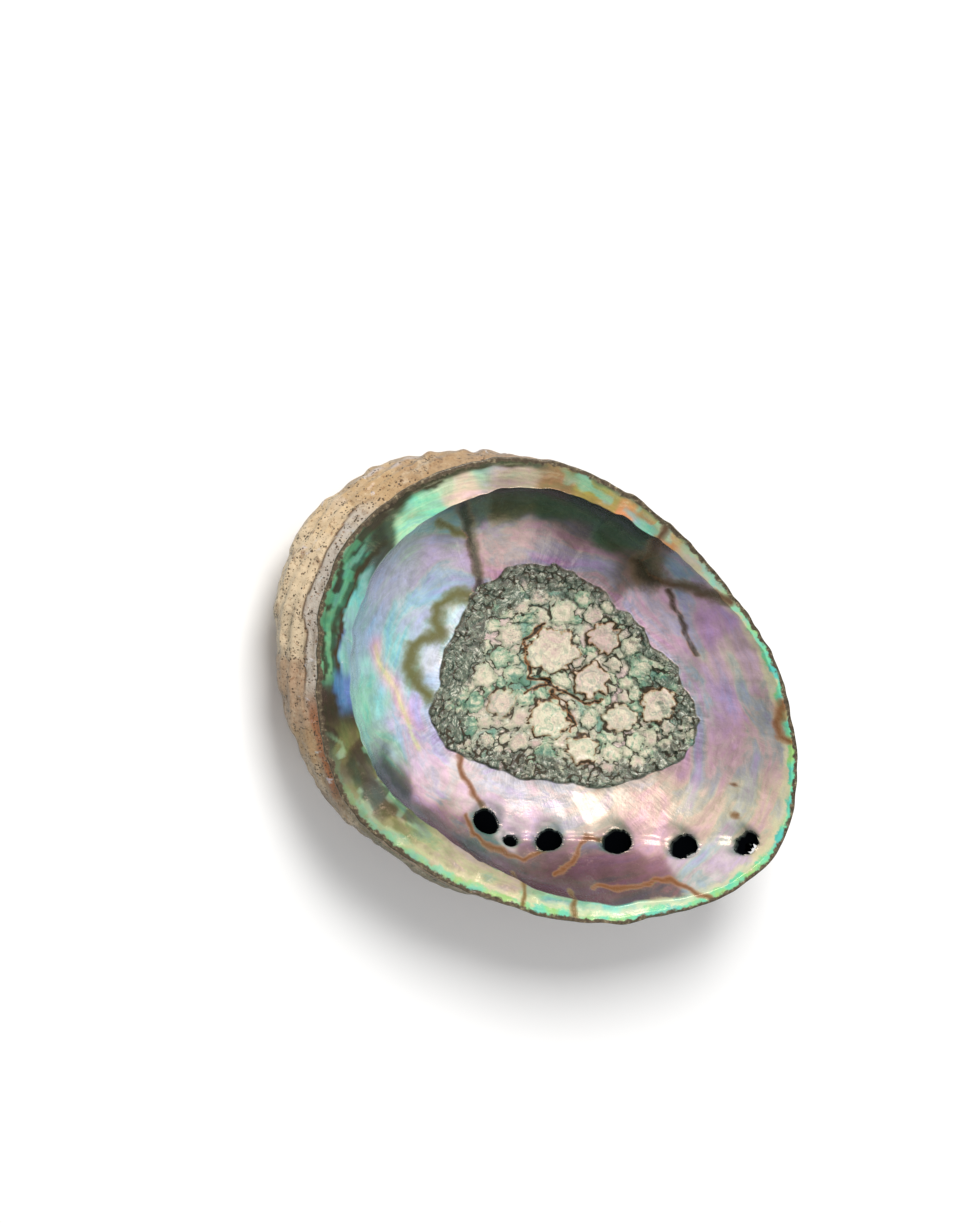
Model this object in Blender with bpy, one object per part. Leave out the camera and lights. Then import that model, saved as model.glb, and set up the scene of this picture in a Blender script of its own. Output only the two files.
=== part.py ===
"""Abalone shell lying on its back, opening up.

The shell grew as one piece, so it is one closed solid: an ear-shaped bowl with a flat shelf along its
inner lip, a bulging spire behind the shelf and a row of open breathing pores.

It is lofted like a hull. Each STATION says, for one direction from the middle of the floor, how far the
rim is, how wide the shelf is, how steep the wall stands and how far the outside bulges past the rim.
A section through the wall is worked out from these values, and the sections are skinned into one mesh.

The section frame has X along the shell's length towards the growing edge and Z out of the opening.
The object's rotation then tips the shell to where it balances on its back.
"""

import math
from collections import namedtuple

import bmesh
import bpy
from mathutils import Euler, Matrix, Vector

MM = 0.001

# Driving dimensions, in millimetres and degrees.
FLOOR_DEPTH = 33.0  # from the rim's plane down to the middle of the floor
FLOOR_WALL = 3.6  # thickness under the muscle scar
RIM_WALL = 0.9  # how far the outer corner of the lip stands below the rim's crest
SHELF_DROP = 0.16  # slope of the shelf down towards its inner edge
WORN_DEPTH = 0.3  # height rubbed off where the back touches the ground
REST_PITCH = -4.2  # tip about Y that balances the shell on its back
REST_ROLL = 2.8  # tip about X that balances it

Station = namedtuple("Station", "rim shelf wall flank square crest")
# Every 30 degrees from the growing edge, counter-clockwise seen from above:
# rim: radius of the rim; shelf: width of the flat lip; wall: how far round its arc the inner wall turns,
# where 90 stands upright and more than 90 hangs over; flank: the same for the outside, which past 90
# swells beyond the rim; square: 2 is an ellipse, 3 a boxier floor and wall; crest: height of the rim.
STATIONS = (
    Station(rim=84.0, shelf=1.8, wall=56, flank=56, square=2.0, crest=-2.0),
    Station(rim=73.0, shelf=1.8, wall=58, flank=60, square=2.0, crest=-0.5),
    Station(rim=61.3, shelf=3.0, wall=74, flank=74, square=2.0, crest=1.0),
    Station(rim=59.0, shelf=6.0, wall=92, flank=91, square=2.2, crest=1.0),
    Station(rim=63.2, shelf=8.0, wall=100, flank=95, square=2.2, crest=0.2),
    Station(rim=66.8, shelf=10.5, wall=100, flank=114, square=2.2, crest=0.0),
    Station(rim=67.4, shelf=11.8, wall=86, flank=121, square=2.1, crest=0.0),
    Station(rim=62.2, shelf=10.0, wall=82, flank=119, square=2.0, crest=0.0),
    Station(rim=61.6, shelf=12.0, wall=92, flank=110, square=2.3, crest=0.0),
    Station(rim=58.4, shelf=11.2, wall=102, flank=105, square=2.8, crest=0.0),
    Station(rim=61.0, shelf=8.0, wall=100, flank=97, square=2.8, crest=-0.6),
    Station(rim=72.0, shelf=5.0, wall=74, flank=78, square=2.3, crest=-1.5),
)

AZIMUTHS = 80  # sections round the shell
WALL_RINGS = 12  # rings from the floor's middle to the shelf, inside and outside

Pore = namedtuple("Pore", "azimuth share radius slant taper")
# From the oldest to the newest, with a small one beside the first. share: how far out along the inner
# wall's arc; slant: how far it leans towards the rim for each millimetre through the wall; taper: share
# of its radius that it loses in each millimetre.
PORES = (
    Pore(azimuth=292.0, share=0.46, radius=3.3, slant=1.2, taper=0.06),
    Pore(azimuth=302.0, share=0.51, radius=1.5, slant=1.0, taper=0.06),
    Pore(azimuth=315.5, share=0.525, radius=3.2, slant=1.2, taper=0.06),
    Pore(azimuth=336.0, share=0.635, radius=3.6, slant=1.3, taper=0.08),
    Pore(azimuth=349.0, share=0.77, radius=3.4, slant=1.4, taper=0.12),
    Pore(azimuth=358.5, share=0.915, radius=2.9, slant=1.2, taper=0.2),
)
PORE_SIDES = 16
PORE_START = 3.0  # how far inside the bowl each cutter starts
PORE_REACH = 9.0  # how far out it goes
PORE_TIP = 0.9  # or less: it stops where it has lost this share of its radius


def station_at(azimuth):
    """The values between two stations, on a smooth curve that closes on itself."""
    count = len(STATIONS)
    place = (azimuth % 360.0) / (360.0 / count)
    first = int(place)
    f = place - first
    before, left, right, after = (STATIONS[(first + k) % count] for k in (-1, 0, 1, 2))
    mixed = (
        0.5 * (2 * b + (c - a) * f + (2 * a - 5 * b + 4 * c - d) * f**2 + (3 * b - a - 3 * c + d) * f**3)
        for a, b, c, d in zip(before, left, right, after)
    )
    return Station(*mixed)


def power(value, square):
    """A cosine or sine made squarer, with its sign kept."""
    return math.copysign(abs(value) ** (2.0 / square), value)


def arc(share, turn, square, end, floor):
    """A point on the wall's arc, from (0, floor) at share 0 to end at share 1, as (radius, height).
    It follows a squared ellipse through turn degrees, so past 90 it comes back inwards."""
    last, here = math.radians(turn), math.radians(turn) * share
    width = end[0] / power(math.sin(last), square)
    height = (end[1] - floor) / (1.0 - power(math.cos(last), square))
    return width * power(math.sin(here), square), floor + height * (1.0 - power(math.cos(here), square))


def shelf_edge(at):
    """Where the shelf's inner edge is, as (radius, height)."""
    return at.rim - at.shelf, at.crest - max(0.35, SHELF_DROP * at.shelf)


def inner_point(azimuth, share):
    """A point of the inside, from the floor's middle to the shelf's edge."""
    at = station_at(azimuth)
    radius, height = arc(share, at.wall, at.square, shelf_edge(at), -FLOOR_DEPTH)
    return place_at(azimuth, radius, height)


def section(azimuth):
    """The wall's section in one direction, from the inside's middle over the rim to the underside's."""
    at = station_at(azimuth)
    edge = shelf_edge(at)
    shares = [k / WALL_RINGS for k in range(1, WALL_RINGS + 1)]
    inside = [arc(s, at.wall, at.square, edge, -FLOOR_DEPTH) for s in shares]
    flat = [(at.rim - at.shelf * k, at.crest + (edge[1] - at.crest) * k) for k in (0.6, 0.25)]
    crest = [(at.rim - 0.2 * RIM_WALL, at.crest - 0.2 * RIM_WALL)]
    corner = (at.rim, at.crest - RIM_WALL)
    underside = [
        arc(s, at.flank, at.square, corner, -FLOOR_DEPTH - FLOOR_WALL) for s in reversed(shares)
    ]
    return [place_at(azimuth, *point) for point in inside + flat + crest + underside]


def place_at(azimuth, radius, height):
    angle = math.radians(azimuth)
    return Vector((radius * math.cos(angle), radius * math.sin(angle), height)) * MM


def build_shell_mesh():
    """Skins the sections into one closed mesh."""
    bm = bmesh.new()
    floor = bm.verts.new((0.0, 0.0, -FLOOR_DEPTH * MM))
    under = bm.verts.new((0.0, 0.0, -(FLOOR_DEPTH + FLOOR_WALL) * MM))
    ribs = [[bm.verts.new(p) for p in section(360.0 * i / AZIMUTHS)] for i in range(AZIMUTHS)]
    for rib, after in zip(ribs, ribs[1:] + ribs[:1]):
        bm.faces.new((floor, rib[0], after[0]))
        for k in range(len(rib) - 1):
            bm.faces.new((rib[k], rib[k + 1], after[k + 1], after[k]))
        bm.faces.new((rib[-1], under, after[-1]))
    mesh = bpy.data.meshes.new("shell")
    bm.to_mesh(mesh)
    bm.free()
    mesh.shade_smooth()
    mesh.set_sharp_from_angle(angle=math.radians(50))
    return mesh


def pore_axes(pore):
    """The directions out through the wall and along it towards the rim, at a pore's middle."""
    across = inner_point(pore.azimuth + 1.0, pore.share) - inner_point(pore.azimuth - 1.0, pore.share)
    along = inner_point(pore.azimuth, pore.share + 0.01) - inner_point(pore.azimuth, pore.share - 0.01)
    return across.cross(along).normalized(), along.normalized()


def build_pore_cutters():
    """One slanting, tapered plug for each open pore."""
    bm = bmesh.new()
    for pore in PORES:
        out, rimward = pore_axes(pore)
        side = out.cross(rimward)
        lean = out + rimward * pore.slant
        middle = inner_point(pore.azimuth, pore.share)
        reach = min(PORE_REACH, PORE_TIP / pore.taper)
        turns = [math.tau * k / PORE_SIDES for k in range(PORE_SIDES)]
        low, high = [], []
        for ring, level in ((low, -PORE_START), (high, reach)):
            centre = middle + lean * level * MM
            radius = pore.radius * (1.0 - pore.taper * max(level, 0.0)) * MM
            for turn in turns:
                spoke = rimward * math.cos(turn) + side * math.sin(turn)
                ring.append(bm.verts.new(centre + radius * spoke))
        bm.faces.new(low)
        bm.faces.new(reversed(high))
        for a, b, c, d in zip(low, low[1:] + low[:1], high[1:] + high[:1], high):
            bm.faces.new((d, c, b, a))
    bmesh.ops.recalc_face_normals(bm, faces=bm.faces)
    mesh = bpy.data.meshes.new("pore_cutters")
    bm.to_mesh(mesh)
    bm.free()
    return mesh


def build_ground_cutter(size):
    """A block whose top face is the ground."""
    bm = bmesh.new()
    bmesh.ops.create_cube(bm, size=size, matrix=Matrix.Translation((0.0, 0.0, -size / 2)))
    mesh = bpy.data.meshes.new("ground_cutter")
    bm.to_mesh(mesh)
    bm.free()
    return mesh


def shell_material():
    material = bpy.data.materials.new("nacre")
    material.use_nodes = True
    shader = material.node_tree.nodes["Principled BSDF"]
    shader.inputs["Base Color"].default_value = (0.42, 0.45, 0.47, 1.0)
    shader.inputs["Roughness"].default_value = 0.25
    shader.inputs["Metallic"].default_value = 0.0
    return material


def rest_matrix(mesh):
    """Tips the shell to its balance and sets it down, its worn foot just into the ground."""
    tip = Euler((math.radians(REST_ROLL), math.radians(REST_PITCH), 0.0)).to_matrix()
    points = [tip @ v.co for v in mesh.vertices]
    low = Vector([min(p[k] for p in points) for k in range(3)])
    high = Vector([max(p[k] for p in points) for k in range(3)])
    middle = (low + high) / 2
    drop = Matrix.Translation((-middle.x, -middle.y, -low.z - WORN_DEPTH * MM))
    return drop @ tip.to_4x4()


def add_object(name, mesh, matrix, cutter=False):
    obj = bpy.data.objects.new(name, mesh)
    bpy.context.scene.collection.objects.link(obj)
    obj.matrix_world = matrix
    if cutter:
        obj.hide_render = True
        obj.display_type = "WIRE"
    return obj


def cut(obj, cutter):
    boolean = obj.modifiers.new(cutter.name, "BOOLEAN")
    boolean.operation = "DIFFERENCE"
    boolean.solver = "EXACT"
    boolean.object = cutter


def main():
    for obj in list(bpy.data.objects):
        bpy.data.objects.remove(obj)
    mesh = build_shell_mesh()
    rest = rest_matrix(mesh)
    shell = add_object("shell", mesh, rest)
    mesh.materials.append(shell_material())
    cut(shell, add_object("pore_cutters", build_pore_cutters(), rest, cutter=True))
    cut(shell, add_object("ground_cutter", build_ground_cutter(0.5), Matrix.Identity(4), cutter=True))


main()
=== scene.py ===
import math

import bpy
import numpy as np
from mathutils import Matrix, Vector


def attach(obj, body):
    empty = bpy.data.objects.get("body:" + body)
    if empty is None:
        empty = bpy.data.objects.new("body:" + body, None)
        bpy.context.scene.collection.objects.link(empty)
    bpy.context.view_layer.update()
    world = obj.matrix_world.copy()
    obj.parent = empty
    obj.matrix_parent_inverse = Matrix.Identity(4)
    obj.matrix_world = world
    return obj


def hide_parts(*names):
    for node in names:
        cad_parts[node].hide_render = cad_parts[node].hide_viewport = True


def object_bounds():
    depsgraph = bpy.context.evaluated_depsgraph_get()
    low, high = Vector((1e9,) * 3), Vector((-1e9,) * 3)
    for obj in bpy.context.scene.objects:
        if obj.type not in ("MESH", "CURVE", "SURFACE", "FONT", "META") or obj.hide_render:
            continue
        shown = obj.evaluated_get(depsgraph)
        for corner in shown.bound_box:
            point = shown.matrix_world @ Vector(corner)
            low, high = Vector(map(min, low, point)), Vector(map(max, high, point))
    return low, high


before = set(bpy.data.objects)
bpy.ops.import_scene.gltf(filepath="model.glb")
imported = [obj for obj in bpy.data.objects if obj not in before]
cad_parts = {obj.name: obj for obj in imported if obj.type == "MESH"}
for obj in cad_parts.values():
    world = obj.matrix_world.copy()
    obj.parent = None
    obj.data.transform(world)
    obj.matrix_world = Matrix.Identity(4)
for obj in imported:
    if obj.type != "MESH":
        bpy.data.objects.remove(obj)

CAD_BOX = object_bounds()
MM = 0.001

# Shape of the shell, the same sections as the solid. Millimetres and degrees, every 30 degrees from the
# growing edge: rim radius, shelf width, turn of the inner wall, turn of the outer wall, squareness, crest.
STATIONS = np.array([
    (84.0, 1.8, 56, 56, 2.0, -2.0),
    (73.0, 1.8, 58, 60, 2.0, -0.5),
    (61.3, 3.0, 74, 74, 2.0, 1.0),
    (59.0, 6.0, 92, 91, 2.2, 1.0),
    (63.2, 8.0, 100, 95, 2.2, 0.2),
    (66.8, 10.5, 100, 114, 2.2, 0.0),
    (67.4, 11.8, 86, 121, 2.1, 0.0),
    (62.2, 10.0, 82, 119, 2.0, 0.0),
    (61.6, 12.0, 92, 110, 2.3, 0.0),
    (58.4, 11.2, 102, 105, 2.8, 0.0),
    (61.0, 8.0, 100, 97, 2.8, -0.6),
    (72.0, 5.0, 74, 78, 2.3, -1.5),
])
FLOOR_DEPTH = 33.0
FLOOR_WALL = 3.6
RIM_WALL = 0.9
SHELF_DROP = 0.16
REST_PITCH = -4.2
REST_ROLL = 2.8
WORN_DEPTH = 0.3

AZIMUTHS = 1440  # columns of the section table
WALL, SHELF, LIP, BACK = 400, 110, 24, 400  # samples along a section
LIP_MIDDLE = WALL + SHELF - 1 + LIP / 2
BACK_START = WALL + SHELF + LIP
RINGS = 150  # rings of each sheet's grid, from its middle to the lip
SIDE = 2 * RINGS + 1  # points along each side of the grid
SCAR_RINGS = 104  # rings of the inner sheet that cover the muscle scar
WALL_RINGS = 26  # rings on the rest of the wall
SCAR_SHARE = 0.66  # share of the wall's arc that the scar reaches

# Pores: direction, share of the way out, radius, how far it leans towards the rim for each millimetre
# through the wall, and the share of its radius that it loses in each millimetre.
PORES = (
    (292.0, 0.46, 3.3, 1.2, 0.06),
    (302.0, 0.51, 1.5, 1.0, 0.06),
    (315.5, 0.525, 3.2, 1.2, 0.06),
    (336.0, 0.635, 3.6, 1.3, 0.08),
    (349.0, 0.77, 3.4, 1.5, 0.2),
    (358.5, 0.915, 3.1, 1.4, 0.6),
)
PORE_DENT = 1.7  # how deep each pore's mouth lies in its dent
PORE_TIP = 0.35  # the smallest share of its radius that a pore narrows to
PORE_FLARES = (0.75, 0.35)  # how much wider each pore is at its inner and its outer mouth
PORE_LINING = ((0.25, 0.35), (0.7, 0.1), (1.5, 0.0))  # depth and flare of the rings below the inner mouth

# Outline of the muscle scar, seen from above.
SCAR = [
    (-24, 17), (-21, 24), (-16.5, 29), (-11, 33), (-4, 35), (4, 36), (12, 34), (20, 33), (29, 31), (36, 28.5),
    (43, 25), (49, 20), (52, 16), (52, 9), (50, 2), (46, -4), (40, -10), (33, -14), (25, -18), (18, -21),
    (11, -23), (5, -24), (-1, -26), (-6, -26.5), (-12, -24), (-16, -21), (-18, -18), (-18, -13.5), (-20, -8),
    (-22, -3), (-22, 3), (-24, 9), (-25, 13),
]
# The larger rosettes of the scar: place and radius.
ROSETTES = [
    (4.5, 13.5, 7.5), (14.5, -3, 6.5), (18.5, 12.5, 5.5), (14, 25, 5), (37.5, 17.5, 5.5), (31, 8.5, 4.5),
    (-8.5, -3.5, 4), (0.5, -7, 4.5), (0.5, 24.5, 3.5), (27.5, -5, 5), (19.5, -12.5, 3.5), (9.5, 33, 2.5),
    (27.5, 23.5, 4), (-8.5, 10, 4), (11, -13.5, 3.5), (-4, -17.5, 3), (42.5, 0, 3), (46.5, 10, 3),
    (-8, 24, 3), (-15.5, 15.5, 3), (24.5, 3.5, 3), (-1, 1.5, 3), (34.5, -1.5, 3), (20.5, 20, 2.5),
    (-12.5, 3.5, 2.5), (-11, -12, 3), (3, -18.5, 2.5), (35.5, 24.5, 3), (41.5, 8, 2.5), (-14.5, -6.5, 2.5),
]
RUSTY = 5.0  # rosettes at least this large have rust-brown outlines
STREAK = [(-42, -14), (-37, -18), (-30, -21), (-24, -25), (-19, -28), (-13, -31)]  # rose and yellow
BAND = [(0, 1), (40, 1), (62, 0.5), (80, 0.2), (120, 0.05), (150, 0), (225, 0), (250, 0.3), (280, 0.7),
        (300, 0.9), (360, 1)]  # strength of the green band inside the lip, by direction
SWIRL_MIDDLE = (6, -4)  # what the pearl's bands curl round

# Stained lines on the nacre: half width, darkness from 0 (tan) to 1 (black-brown), and the line.
STAINS = [
    (2.0, 0.95, [(-44, 32), (-40, 30), (-36, 27), (-31, 23), (-27, 20), (-24, 16)]),
    (2.9, 0.12, [(-25, 13), (-29, 11), (-31.5, 6), (-30, 2), (-26, -0.5), (-29, -4), (-31.5, -8),
                 (-29.5, -13), (-25, -16), (-19, -17)]),
    (1.3, 0.15, [(-47, 24), (-42, 25), (-37, 26)]),
    (1.1, 0.42, [(-1, -26), (0, -29), (3, -31), (7, -32.5), (11, -34), (14, -36)]),
    (0.9, 0.48, [(9, -40), (13, -43), (19, -43), (24, -42), (29, -41), (33, -36)]),
    (0.85, 0.45, [(45, -24), (41, -26), (41, -31), (40, -36), (38, -40)]),
    (0.75, 0.42, [(47, -37), (53, -33), (58, -29), (61, -25), (65, -22.5), (70, -22), (75, -21)]),
    (1.8, 0.66, [(4, 58), (5, 53), (8, 50), (8, 47), (12, 45.5), (16, 46), (20, 48), (26, 49.5), (32, 51)]),
    (4.0, 0.92, [(8, 47.5), (11, 45), (14, 45)]),
    (0.9, 0.78, [(18, 45), (24, 42), (31, 38), (37, 35)]),
    (1.5, 0.4, [(61, 36), (64, 31), (67, 28), (72, 29)]),
    (1.3, 0.25, [(27, -46), (29, -49), (30, -54)]),
    (1.3, 0.25, [(42, -41), (43, -44), (45, -48)]),
    (0.7, 0.6, [(66, 9.5), (66.5, 10)]),
    (0.9, 0.3, [(71, 3), (71.5, 3.5)]),
]
# Cracks in the scar: half width and line.
CRACKS = [
    (0.3, [(-2, 19), (-4, 12), (-1.5, 8.5), (1.5, 6.5), (3.5, 4), (7, 5.5), (10, 6), (13.5, 6.5),
            (17.5, 6), (21.5, 6.5), (24.5, 10.5)]),
    (0.28, [(9, 6), (6.5, 2.5), (5, -1.5)]),
    (0.22, [(12, 3.5), (16, 3.5), (19.5, 1.5), (22.5, 0.5), (22, -3)]),
    (0.7, [(11.5, 4.5), (12, 4.5)]),
]

# Colours of the nacre: place, spread, and red, green and blue. The dark greens and browns on the top wall and
# the darker greys and mauves on the lower wall hold painted shade.
WALL_ZONES = [
    (-50, 12, 7, 156, 190, 190), (-46, 1, 8, 160, 182, 206), (-38, 15, 8, 176, 174, 206),
    (-43, 24, 5, 138, 160, 170), (-45, -9, 8, 128, 180, 204), (-38, -17, 8, 128, 200, 208),
    (-30, 4, 6, 160, 188, 222), (-28, -12, 7, 160, 200, 224), (-34, -30, 7, 122, 212, 192),
    (-25, -37, 7, 146, 206, 196), (-21, -27, 5, 180, 180, 226), (-12, -31, 6, 206, 182, 226),
    (-6, -37, 6, 226, 192, 218), (-26, 5, 4, 236, 244, 246), (-25, -9, 4, 232, 242, 246),
    (4, -33, 5, 232, 206, 220), (16, -30, 7, 222, 200, 222), (30, -24, 7, 216, 196, 214),
    (40, -18, 7, 226, 198, 192), (52, -9, 7, 212, 178, 184), (48, 26, 9, 152, 142, 176),
    (32, 42, 6, 170, 142, 184), (28, 36, 5, 196, 158, 196), (46, 40, 7, 186, 170, 178),
    (58, 14, 9, 170, 142, 164), (60, 28, 7, 158, 136, 154), (57, -2, 7, 206, 180, 174),
    (70, 8, 6, 196, 174, 166), (-19, 47, 5, 62, 84, 66), (-5, 50, 5, 66, 100, 80), (8, 44, 5, 104, 84, 90),
    (-12, 42, 5, 150, 112, 140), (-27, 30, 6, 186, 144, 172), (-32, 40, 5, 78, 76, 54),
    (-16, 37, 4, 170, 130, 165), (2, 40, 5, 160, 128, 160), (17, 52, 4, 134, 134, 176),
    (16, 39, 4, 186, 150, 190), (18, -46, 5, 88, 104, 110), (46, -30, 5, 156, 118, 146),
    (36, -38, 5, 112, 92, 102), (3, -43, 6, 132, 106, 122), (-20, -44, 6, 110, 98, 102),
    (60, -26, 5, 132, 98, 110), (70, -16, 5, 186, 180, 196), (-40, 34, 4, 110, 120, 110),
]
SHELF_ZONES = [
    (-66, -2, 5, 50, 98, 78), (-57, -10, 3, 96, 190, 200), (-64, 8, 5, 44, 42, 34),
    (-57, 18, 5, 140, 196, 164), (-56, 26, 4, 104, 200, 168), (-54, 34, 4, 168, 202, 174),
    (-48, 35, 4, 206, 184, 170), (-46, 42, 4, 110, 194, 166), (-57, 40, 4, 52, 56, 40),
    (-41, 43, 5, 152, 144, 134), (-46, 50, 3, 58, 62, 46), (-29, 51, 4, 128, 98, 64),
    (-30, 56, 4, 150, 104, 40), (-18, 55, 4, 140, 128, 48), (-8, 55, 3, 176, 112, 38),
    (-2, 57, 3, 84, 170, 160), (5, 57, 3, 156, 98, 36), (19, 54, 5, 126, 134, 116),
    (32, 52, 5, 120, 150, 118), (-65, -18, 4, 64, 50, 36), (-57, -24, 4, 66, 134, 188),
    (-55, -31, 3, 84, 176, 186), (-55, -38, 5, 46, 40, 34), (-47, -36, 4, 58, 60, 50),
    (-42, -42, 3, 92, 100, 62), (-44, -49, 5, 60, 54, 40), (-37, -47, 4, 112, 108, 52),
    (-30, -49, 4, 80, 86, 68), (-24, -51, 4, 96, 136, 114), (-17, -50, 3, 106, 110, 64),
    (-8, -52, 5, 144, 150, 116), (8, -53, 6, 154, 156, 128), (22, -52, 5, 164, 162, 136),
    (32, -50, 4, 132, 172, 142), (42, -46, 5, 120, 176, 154), (54, -38, 5, 116, 206, 196),
    (66, -28, 5, 116, 190, 178),
]
BACK_ZONES = [
    (-68, -22, 7, 206, 186, 156), (-76, -8, 6, 212, 190, 158), (-76, 8, 5, 202, 176, 140),
    (-70, 20, 6, 180, 150, 112), (-60, 34, 7, 166, 136, 102), (-44, 50, 7, 158, 128, 98),
    (-24, 58, 8, 140, 104, 84), (-4, 60, 8, 128, 94, 84), (-58, -38, 6, 170, 142, 116),
    (-44, -52, 6, 168, 138, 104), (-24, -58, 8, 146, 122, 96),
]


def linear(rgb):
    """A colour on the 0 to 255 scale, as linear light."""
    c = np.asarray(rgb, float) / 255.0
    return np.where(c <= 0.04045, c / 12.92, ((c + 0.055) / 1.055) ** 2.4)


def noise(p, scale, seed):
    """Smooth value noise from -1 to 1 at the points p, in mm, with features scale mm across."""
    p = np.asarray(p, float) / scale + seed * 17.31
    cell = np.floor(p).astype(np.int64)
    f = p - cell
    f = f * f * (3 - 2 * f)
    total = np.zeros(len(p))
    for corner in range(2 ** p.shape[1]):
        h = np.full(len(p), seed * 7919 + 12345, np.int64)
        w = np.ones(len(p))
        for k in range(p.shape[1]):
            bit = corner >> k & 1
            h = (h * 1664525 + (cell[:, k] + bit) * (73856093 + 19349663 * k)) & 0x7FFFFFFF
            h = (h ^ (h >> 13)) * 1274126177 & 0x7FFFFFFF
            w = w * (f[:, k] if bit else 1 - f[:, k])
        total += w * ((h ^ (h >> 16)) % 65536 / 32767.5 - 1)
    return total


def rise(value, low, high):
    """0 below low, 1 above high and smooth between them; low may be the larger."""
    t = np.clip((value - low) / (high - low), 0, 1)
    return t * t * (3 - 2 * t)


def bell(value, width):
    """1 where the value is 0, falling smoothly to both sides."""
    return np.exp(-((value / width) ** 2))


def polar(radius, angle, *more):
    """Points at a radius in a direction, with further coordinates if given."""
    return np.stack([radius * np.cos(angle), radius * np.sin(angle), *more], 1)


def direction(xy):
    return np.arctan2(xy[:, 1], xy[:, 0])


def blend(first, second, share):
    return first + (second - first) * share[:, None]


def paint(colour, layers):
    """The colours under layers, each a share from 0 to 1 at every point and a colour."""
    for share, rgb in layers:
        colour = blend(colour, linear(rgb), np.clip(share, 0, 1))
    return colour


def station_values(azimuth):
    """The stations' values in each direction, on smooth curves that close on themselves."""
    count = len(STATIONS)
    place = (azimuth % 360.0) / (360.0 / count)
    first = np.floor(place).astype(int)
    f = (place - first)[:, None]
    a, b, c, d = (STATIONS[(first + k) % count] for k in (-1, 0, 1, 2))
    return 0.5 * (2 * b + (c - a) * f + (2 * a - 5 * b + 4 * c - d) * f**2 + (3 * b - a - 3 * c + d) * f**3)


def power(value, square):
    return np.sign(value) * np.abs(value) ** (2.0 / square)


def arc(share, turn, square, end_r, end_z, floor):
    """Points of a superellipse from the middle of the floor to its end, at shares of its whole turn."""
    last = np.radians(turn)
    here = last * share
    width = end_r / power(np.sin(last), square)
    height = (end_z - floor) / (1 - power(np.cos(last), square))
    return width * power(np.sin(here), square), floor + height * (1 - power(np.cos(here), square))


def section_table():
    """Radius and height along every section: the wall, the shelf, the lip and the back."""
    azimuth = np.arange(AZIMUTHS) * 360.0 / AZIMUTHS
    rim, shelf, wall, flank, square, crest = (v[:, None] for v in station_values(azimuth).T)
    angle = np.radians(azimuth)
    ring = polar(60, angle)
    rim = rim + (0.45 * noise(ring, 7.0, 3) + 0.3 * noise(ring, 2.6, 4))[:, None]
    crest = crest + (0.4 * noise(ring, 16.0, 5) + 0.15 * noise(ring, 4.0, 6))[:, None]
    edge_r = rim - shelf + (0.35 * noise(ring, 9.0, 7))[:, None]
    edge_z = crest - np.maximum(0.35, SHELF_DROP * shelf)
    wall_r, wall_z = arc(np.linspace(0, 1, WALL), wall, square, edge_r, edge_z, -FLOOR_DEPTH)
    k = np.linspace(1, 0, SHELF + 1)[1:]
    shelf_r = rim + (edge_r - rim) * k
    shelf_z = crest + (edge_z - crest) * k
    drop = np.linspace(0, 1, LIP + 1)[1:]
    lip_r = rim + 0 * drop
    lip_z = crest - RIM_WALL * drop
    k = np.linspace(1, 0, BACK + 1)[1:]
    back_r, back_z = arc(k, flank, square, rim, crest - RIM_WALL, -FLOOR_DEPTH - FLOOR_WALL)
    radii = np.hstack([wall_r, shelf_r, lip_r, back_r])
    heights = np.hstack([wall_z, shelf_z, lip_z, back_z])
    return round_corners(np.stack([radii, heights], 2))


def round_corners(table):
    """Softens the corners of the sections at the shelf's edge and the lip."""
    reach = 9
    kernel = np.exp(-0.5 * (np.arange(-reach, reach + 1) / 4.0) ** 2)
    kernel /= kernel.sum()
    soft = np.zeros_like(table)
    count = table.shape[1]
    for k, w in zip(range(-reach, reach + 1), kernel):
        soft += w * table[:, np.clip(np.arange(count) + k, 0, count - 1)]
    place = np.arange(count)
    near = rise(place, WALL - 60, WALL - 30) * rise(place, BACK_START + 60, BACK_START + 30)
    return table + (soft - table) * near[None, :, None]


def look_up(table, azimuth, place):
    """The table's values between its columns and rows."""
    a = (azimuth % 360.0) * AZIMUTHS / 360.0
    i = np.floor(a).astype(int)
    f = (a - i)[:, None]
    j = np.clip(np.floor(place).astype(int), 0, table.shape[1] - 2)
    g = (place - j)[:, None]
    low = table[i % AZIMUTHS, j] * (1 - g) + table[i % AZIMUTHS, j + 1] * g
    high = table[(i + 1) % AZIMUTHS, j] * (1 - g) + table[(i + 1) % AZIMUTHS, j + 1] * g
    return low * (1 - f) + high * f


def disc_grid():
    """A square grid bent onto a disc: for each grid point its azimuth and ring number."""
    a, b = np.meshgrid(np.arange(-RINGS, RINGS + 1.0), np.arange(-RINGS, RINGS + 1.0), indexing="ij")
    ring = np.maximum(np.abs(a), np.abs(b))
    wide = np.abs(a) >= np.abs(b)
    r = np.where(wide, a, b)
    with np.errstate(divide="ignore", invalid="ignore"):
        turn = np.where(wide, 45.0 * b / a, 90.0 - 45.0 * a / b)
    turn = np.where(ring == 0, 0.0, turn)
    return (turn + np.where(r < 0, 180.0, 0.0)).ravel(), ring.ravel()


def inner_place(ring):
    """Where along the section each ring of the inner sheet lies."""
    scar_end = SCAR_SHARE * (WALL - 1)
    rings = [0, SCAR_RINGS, SCAR_RINGS + WALL_RINGS - 3, SCAR_RINGS + WALL_RINGS + 3, RINGS - 4, RINGS]
    places = [0, scar_end, WALL - 9, WALL + 8, WALL + SHELF - 10, LIP_MIDDLE]
    return np.interp(ring, rings, places)


def outer_place(ring):
    """Where along the section each ring of the outer sheet lies."""
    return np.interp(ring, [0, RINGS - 4, RINGS], [BACK_START + BACK - 1, BACK_START + 8, LIP_MIDDLE])


def to_xyz(azimuth, rz):
    return polar(rz[:, 0], np.radians(azimuth), rz[:, 1])


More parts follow.
